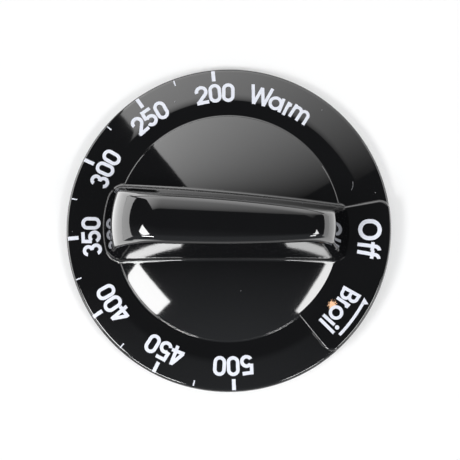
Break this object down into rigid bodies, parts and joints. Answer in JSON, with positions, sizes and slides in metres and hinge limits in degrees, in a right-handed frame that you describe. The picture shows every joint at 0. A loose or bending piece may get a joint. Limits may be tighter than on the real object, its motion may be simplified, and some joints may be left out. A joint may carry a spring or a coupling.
{
  "type": "oven control knob",
  "caption": "Round glossy dial knob with a shallow dome, a tapered finger bar, a raised pad on its skirt and a hollow back whose split hub grips a flatted shaft.",
  "frame": {"origin": "centre of the back rim's plane, on the shaft axis", "axes": "+Z out of the dial's face along the shaft axis, +X along the finger bar to its narrow pointing end, +Y to the left of that when facing the dial with +X to the right"},
  "size_m": [0.07, 0.07, 0.02],
  "materials": {
    "black_gloss": "polished black moulding",
    "spring_steel": "bright spring steel strip"
  },
  "bodies": {
    "root": {"knob_body": "black_gloss", "hub_spring_ring": "spring_steel"}
  },
  "joints": []
}
